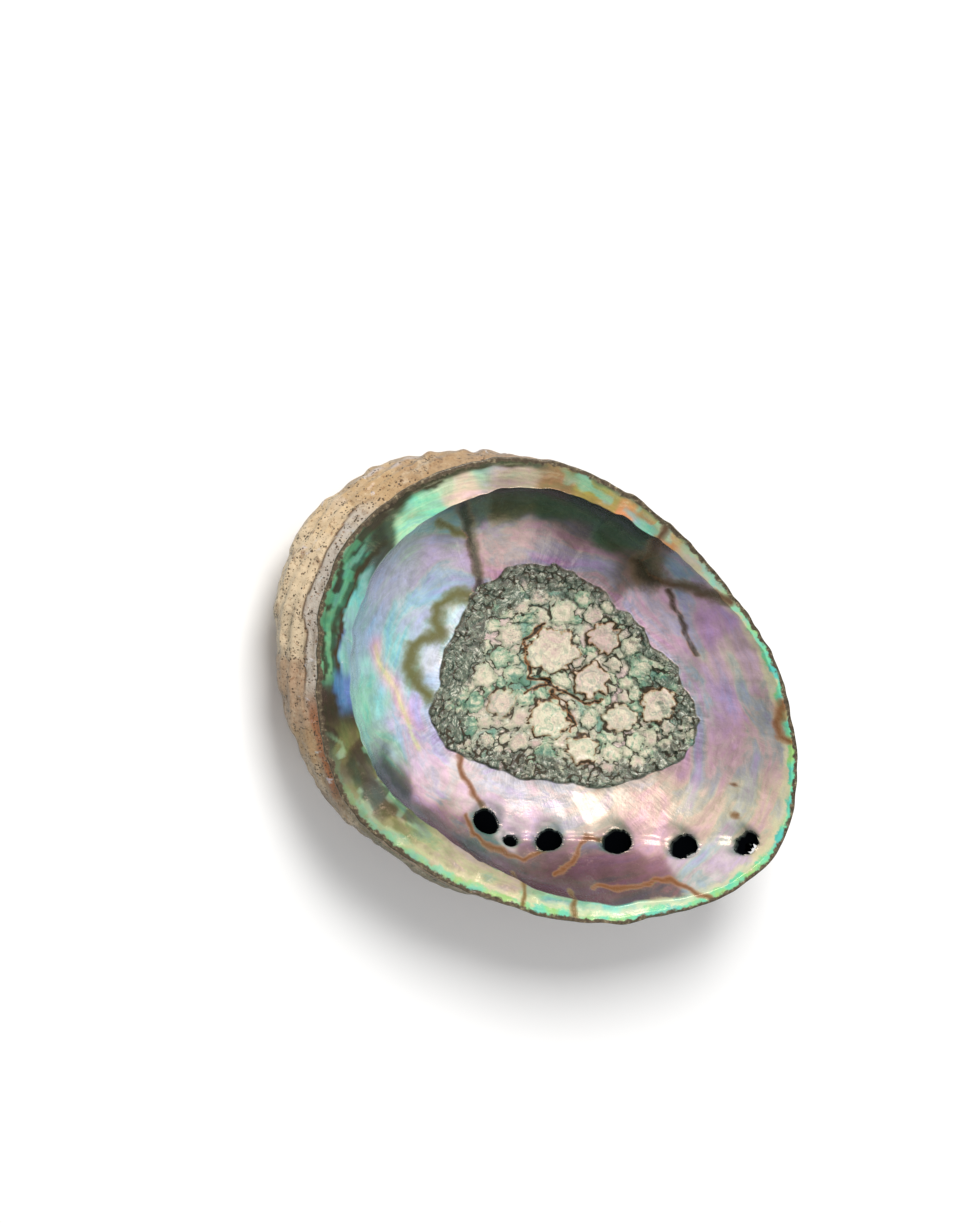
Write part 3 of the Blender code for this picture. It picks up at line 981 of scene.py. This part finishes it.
def nacre_colour(g, plan):
    """Pearl: the zone's colour with swirling bands of the other pearl colours over it."""
    swirl = g.noise(g.vector("swirl"), 1.15, 5, 0.58, 0.8)
    fine = g.noise(plan, 2.4, 5, 0.64, 1)
    cloud = g.noise(plan, 1, 6, 0.66, 0.8)
    fibre = g.noise(g.vector("fibre"), 5.6, 4, 0.62, 0.4)
    phase = g.total((swirl, 2.4), (fine, 0.45), (cloud, 0.6))
    pearl = g.ramp(g.math("FRACT", phase), PEARL)
    colour = g.mix(0.3, g.vector("base"), pearl, "SOFT_LIGHT")
    colour = g.mix(g.times(g.value("gleam"), 0.12), colour, pearl)

    # Clouds, silky streaks, growth lines and fine hairs round the scar, as changes of brightness.
    depth = g.value("scar")
    hair = g.times(g.spread(depth, -5.5, 0, 0, 1), g.spread(fibre, 0.36, 0.66, 0.17, -0.09))
    silk = g.spread(g.noise(g.vector("swirl"), 5, 5, 0.68, 0.4), 0.3, 0.7, -0.11, 0.11)
    haze = g.spread(cloud, 0.32, 0.68, -0.15, 0.13)
    age = g.total((g.value("grow"), 30), (cloud, 2.4))
    lines = g.spread(g.noise(g.pack(age, g.times(swirl, 1.5)), 1.6, 3), 0.3, 0.7, -0.08, 0.07)
    light = g.minus(g.plus(1, silk, haze, lines), hair)
    colour = g.mix(1, colour, g.pack(light, light, light), "MULTIPLY")
    duller = {"Saturation": 0.92, "Value": 0.91, "Color": colour}
    colour = g.add("ShaderNodeHueSaturation", duller).outputs[0]
    lip = g.value("from_lip")
    band = g.value("band")
    wander = g.plus(lip, g.wobble(plan, 1.7, 4, 0.6, -1.3, 1.3))
    yellow = g.times(g.spread(wander, 6, 3.4), g.times(band, 0.6))
    colour = g.mix(yellow, colour, (222, 216, 170))
    green = g.times(g.spread(wander, 3.3, 2), g.times(band, 0.9))
    sea = [(0.36, (44, 186, 176)), (0.5, (90, 206, 160)), (0.64, (140, 196, 110))]
    sea = g.ramp(g.noise(plan, 1.6, 3), sea)
    return g.mix(green, colour, sea), fibre, fine, cloud


def scar_colour(g, plan):
    """The muscle scar: smooth cream, pink and green frills with thin dark or rusty outlines, painted teal
    shade in the crevices and towards the frills' edges, and crumpled grey-green near the scar's border with a
    painted metallic sheen."""
    reach = g.value("reach")
    edge = g.value("edge")
    pick = g.value("pick")
    rust = g.value("rust")
    wave = g.noise(plan, 3, 4, 0.6, 1.8)
    patch = g.noise(plan, 0.9, 3, 0.5, 0.6)
    tone = g.total((wave, 0.6), (pick, 0.28), (patch, 0.35), (rust, 0.06))
    body = g.ramp(tone, [(0.42, (84, 136, 120)), (0.5, (158, 184, 156)), (0.57, (220, 214, 188)),
                         (0.67, (216, 202, 182)), (0.8, (202, 176, 170))])
    swirl = g.math("SINE", g.total((reach, 2.3), (wave, 15)))
    shade = g.ramp(patch, [(0.42, (96, 146, 132)), (0.58, (158, 164, 138))])
    colour = g.cover(body, shade, swirl, 0.2, 1, 0.38)
    # Painted shade: darker green towards each rosette's edge.
    colour = g.cover(colour, (112, 150, 116), edge, 1.3, 0.1, 0.42)

    # Where no rosette lies: pink and green ground with faint curls.
    curl = g.noise(plan, 2.6, 3, 0.55, 3)
    ground = g.ramp(patch, [(0.38, (120, 166, 148)), (0.48, (212, 204, 182)), (0.6, (218, 192, 188))])
    contour = g.math("ABSOLUTE", g.math("SINE", g.times(curl, 30)))
    ground = g.cover(ground, (74, 112, 98), contour, 0.5, 0.05, 0.55)
    colour = g.cover(colour, ground, edge, 0.02, -0.05)
    curly = g.times(g.spread(contour, 0.34, 0.04), g.spread(patch, 0.56, 0.46, 0.25, 0.85))
    colour = g.mix(g.times(curly, g.spread(rust, 0, 1, 1, 0.1)), colour, (40, 62, 54))
    # Painted shade in the crevices beside rosettes that cover others.
    colour = g.cover(colour, (40, 76, 68), g.value("under"), 0.25, 1, 0.85)

    # Crumpled border, widest at the old end: the scar's dark grey-green, with bands of near-white and black
    # that paint a metallic sheen.
    depth = g.value("scar")
    lean = g.spread(g.lengthwise(plan), 0.2, -1.5, 0, 5.5)
    margin = g.plus(depth, g.wobble(plan, 1.5, 5, 0.66, -5, 5.5))
    rim = g.minus(margin, lean)
    fold = g.noise(plan, 2.3, 5, 0.62, 3.6)
    grey_green_and_sheen = g.ramp(fold, [(0.34, (16, 20, 18)), (0.41, (84, 98, 90)), (0.46, (26, 34, 30)),
                          (0.51, (132, 146, 132)), (0.56, (44, 60, 52)), (0.61, (222, 222, 206)),
                          (0.67, (110, 134, 118)), (0.76, (30, 40, 36))])
    colour = g.cover(colour, grey_green_and_sheen, rim, 6.6, 2.6, 0.9)

    # Outlines of uneven thickness, missing in places.
    ragged = g.spread(g.noise(plan, 2.4, 5, 0.66), 0.36, 0.64, -0.15, 0.42)
    ragged = g.plus(ragged, g.times(rust, 0.2))
    line = g.times(g.spread(edge, -0.1, 0), g.spread(g.minus(edge, ragged), 0.07, -0.05))
    wide = g.times(g.spread(g.minus(edge, ragged), 0.5, 0.05), g.spread(edge, -0.3, 0))
    colour = g.mix(g.times(wide, g.times(rust, 0.7)), colour, (150, 98, 48))
    colour = g.mix(g.times(line, 0.95), colour, g.mix(rust, (26, 26, 20), (40, 22, 10)))
    crack = g.value("crack")
    colour = g.mix(g.times(g.spread(crack, 0.42, 0.7), 0.85), colour, (146, 88, 38))
    colour = g.cover(colour, (18, 11, 7), crack, 0.66, 0.8)
    brink = g.spread(g.math("ABSOLUTE", g.minus(depth, 0.4)), 0.7, 0.1, 0, 0.8)
    brink = g.times(brink, g.spread(g.noise(plan, 2, 4, 0.6), 0.38, 0.55, 0.15, 1))
    return g.mix(brink, colour, (30, 34, 28))


def back_colour(g, plan):
    """The back: reddish brown and olive crust over growth ridges, tan and pitted near the spire, worn to
    pearl in patches and where it rests."""
    cord = g.noise(g.vector("cord"), 5, 4, 0.6, 0.3)
    bands = g.noise(g.pack(g.times(g.value("grow"), 14), cord), 1.6, 4, 0.55)
    patch = g.noise(plan, 0.9, 6, 0.66, 0.6)
    colour = g.ramp(bands, [(0.3, (78, 50, 38)), (0.42, (118, 78, 54)), (0.52, (146, 112, 80)),
                            (0.62, (112, 104, 78)), (0.72, (168, 142, 110))])
    near_spire = g.spread(g.plus(g.lengthwise(plan), g.times(patch, 3)), 0.4, -2.4)
    colour = g.mix(near_spire, colour, g.vector("base"))
    colour = g.cover(colour, (204, 186, 160), patch, 0.52, 0.64, 0.55)
    colour = g.cover(colour, (116, 80, 58), patch, 0.44, 0.34, 0.55)
    mottle = g.noise(plan, 6, 6, 0.74)
    colour = g.cover(colour, (88, 66, 46), mottle, 0.46, 0.32, 0.75)
    colour = g.cover(colour, (220, 204, 176), mottle, 0.56, 0.68, 0.5)
    pearl = g.ramp(g.noise(plan, 1.4, 3, 0.5, 1), [(0.35, (186, 180, 196)), (0.5, (214, 204, 206)),
                                                      (0.65, (166, 186, 182))])
    worn = g.times(g.spread(g.noise(plan, 1.3, 6, 0.68, 0.5), 0.62, 0.68), 0.7)
    worn = g.math("MAXIMUM", worn, g.value("worn"), True)
    colour = g.mix(worn, colour, pearl)
    pits = g.add("ShaderNodeTexVoronoi", {"Vector": plan, "Scale": 13.0}).outputs["Distance"]
    size = g.spread(g.noise(plan, 5, 2), 0.4, 0.66, 0.05, 0.42)
    pit = g.times(g.spread(g.minus(pits, size), 0.05, -0.05), 0.85)
    rusty = g.spread(g.noise(plan, 9, 4, 0.7), 0.55, 0.66, 0, 0.6)
    colour = g.mix(g.times(near_spire, rusty), colour, (122, 78, 44))
    return g.mix(pit, colour, (52, 34, 22)), mottle, pit, worn


def shell_material():
    material = bpy.data.materials.new("nacre")
    g = Graph(material)
    plan = g.vector("plan")
    pearl, fibre, fine, cloud = nacre_colour(g, plan)
    scar = scar_colour(g, plan)
    crust, mottle, pit, worn = back_colour(g, plan)

    # Stained lines: olive and tan at their fringes, brown to black at their middles.
    stain = g.value("stain")
    broken = g.plus(stain, g.wobble(plan, 7, 4, 0.65, -0.08, 0.08))
    dark = g.value("stain_dark")
    fringe = g.ramp(dark, [(0.1, (118, 128, 78)), (0.4, (168, 122, 88)), (0.75, (92, 80, 64)),
                           (1, (112, 86, 58))])
    core = g.ramp(dark, [(0.1, (96, 94, 44)), (0.4, (126, 76, 40)), (0.7, (62, 38, 24)), (0.95, (15, 10, 7))])
    colour = g.cover(pearl, fringe, broken, 0, 0.55, 0.66)
    colour = g.cover(colour, core, broken, 0.25, 0.95, 0.86)

    # The lip's dark horny edge.
    crumbs = g.plus(g.value("from_lip"), g.wobble(plan, 5, 4, 0.6, -0.5, 0.5))
    horn = g.spread(crumbs, 1.5, 0.8)
    horn_colour = g.ramp(g.noise(plan, 9, 4, 0.7), [(0.35, (34, 32, 26)), (0.55, (74, 66, 52)),
                                                       (0.72, (150, 138, 110))])
    colour = g.mix(horn, colour, horn_colour)

    on_scar = g.spread(g.value("scar"), -0.25, 0.25)
    colour = g.mix(on_scar, colour, scar)

    # Pores: painted shade, a green rim that falls away to black, with a near-black lining in the holes.
    pore = g.value("pore")
    colour = g.cover(colour, (38, 92, 76), pore, 2.8, 0.6, 0.66)
    colour = g.cover(colour, (10, 20, 20), pore, 0.9, 0.1, 0.94)
    on_back = g.value("on_back")
    colour = g.mix(g.times(on_back, g.spread(pore, 0.3, 1.5)), colour, crust)
    # Painted shade: the pores' lining is near black.
    colour = g.cover(colour, (3, 4, 6), pore, -0.4, -0.9)
    g.shade("Base Color", colour)

    # Shine: pearly inside, dull on the back, and none in the pores.
    rough_in = g.plus(g.spread(fine, 0.3, 0.7, 0.16, 0.3), g.times(horn, 0.35), g.times(on_scar, 0.1))
    rough_back = g.minus(g.spread(mottle, 0.3, 0.7, 0.62, 0.9), g.times(worn, 0.35))
    rough = g.add("ShaderNodeMix", {0: on_back, 2: rough_in, 3: rough_back}, data_type="FLOAT").outputs[0]
    g.shade("Roughness", g.math("ADD", rough, g.spread(pore, 0.4, -0.4, 0, 0.5), clamp=True))
    shine = {"Coat Weight": 0.25, "Specular IOR Level": 0.6, "Thin Film Thickness": 420.0}
    for name, most in shine.items():
        g.shade(name, g.spread(pore, -0.3, 0.6, 0, most))
    g.shade("Coat Roughness", 0.12)
    g.shade("Thin Film IOR", 1.45)

    silk = g.total((fibre, 0.25), (fine, 0.45), (cloud, 0.9))
    grain = g.plus(g.noise(plan, 7, 4, 0.6, 2), g.noise(plan, 18, 3, 0.65))
    inside = g.plus(silk, g.times(on_scar, grain))
    outside = g.total((mottle, 1.6), (pit, -0.9))
    height = g.add("ShaderNodeMix", {0: on_back, 2: inside, 3: outside}, data_type="FLOAT").outputs[0]
    bump = g.add("ShaderNodeBump", {"Strength": 0.55, "Distance": 0.0006, "Height": height})
    g.shade("Normal", bump.outputs["Normal"])
    return material


def add_light(name, place, target, size, watts, tint):
    data = bpy.data.lights.new(name, "AREA")
    data.shape = "RECTANGLE"
    data.size = size[0]
    data.size_y = size[1]
    data.energy = watts
    data.color = tint
    light = add_object(name, data)
    light.location = place
    light.rotation_euler = (Vector(target) - Vector(place)).to_track_quat("-Z", "Y").to_euler()


def build_floor():
    half = 1.5
    corners = [(-half, -half, 0), (half, -half, 0), (half, half, 0), (-half, half, 0)]
    mesh = bpy.data.meshes.new("floor")
    mesh.from_pydata(corners, [], [(0, 1, 2, 3)])
    floor = add_object("floor", mesh)
    material = bpy.data.materials.new("floor")
    g = Graph(material)
    g.shade("Base Color", (0.88, 0.88, 0.88, 1.0))
    g.shade("Roughness", 0.9)
    mesh.materials.append(material)


def build_camera(rest):
    """Looks at the shell from nearly straight above, its long axis running down to the right."""
    tilt = math.radians(13.0)
    lean = math.radians(199.4)
    up_turn = math.radians(124.4)
    back = Vector((math.sin(tilt) * math.cos(lean), math.sin(tilt) * math.sin(lean), math.cos(tilt)))
    up = Vector((math.cos(up_turn), math.sin(up_turn), 0.0))
    up = (up - back * up.dot(back)).normalized()
    right = up.cross(back)
    place = Vector((-170.1, -41.0, 670.2)) * MM
    frame_axes = Matrix((right, up, back)).transposed().to_4x4()
    data = bpy.data.cameras.new("camera")
    data.lens = 74.0
    data.sensor_width = 36.0
    data.clip_start = 0.01
    camera = add_object("camera", data)
    camera.matrix_world = rest @ Matrix.Translation(place) @ frame_axes
    bpy.context.scene.camera = camera


def build_world():
    world = bpy.data.worlds.new("world")
    world.use_nodes = True
    background = world.node_tree.nodes["Background"].inputs
    background["Color"].default_value = (1.0, 1.0, 1.0, 1.0)
    background["Strength"].default_value = 0.38
    bpy.context.scene.world = world


def main():
    shell, rest = build_shell()
    shell.data.materials.append(shell_material())
    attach(shell, "root")
    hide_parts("shell")
    build_floor()
    build_camera(rest)
    build_world()
    add_light("key", (-0.3, 0.45, 0.75), (0, 0, 0.02), (0.4, 0.4), 9.0, (1.0, 0.99, 0.97))
    add_light("fill", (0.5, -0.45, 0.6), (0, 0, 0.02), (0.6, 0.4), 2.2, (0.96, 0.98, 1.0))
    bpy.context.scene.view_settings.view_transform = "Standard"


main()
